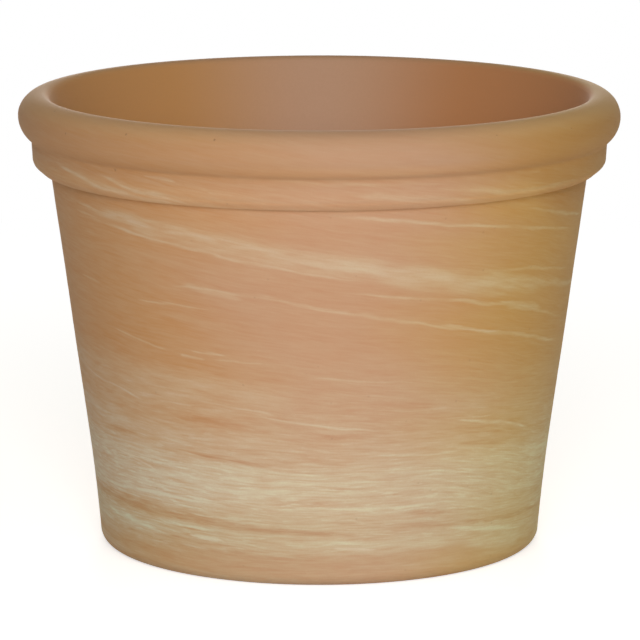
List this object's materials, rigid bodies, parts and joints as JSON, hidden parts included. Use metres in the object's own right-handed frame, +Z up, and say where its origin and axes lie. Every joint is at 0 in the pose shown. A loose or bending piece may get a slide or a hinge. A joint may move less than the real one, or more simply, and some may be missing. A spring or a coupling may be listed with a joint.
{
  "type": "flower pot",
  "caption": "Round tapered floor pot of marbled terracotta with a rolled rim over a plain collar, a foot ring and a central drain hole.",
  "frame": {"origin": "middle of the foot, on the face that the pot stands on", "axes": "+Z up along the axis of turning; the pot is round, so +X and +Y are free"},
  "size_m": [0.33, 0.33, 0.25],
  "materials": {
    "terracotta": "matt unglazed clay, marbled with paler clay"
  },
  "bodies": {
    "root": {"pot": "terracotta"}
  },
  "joints": []
}
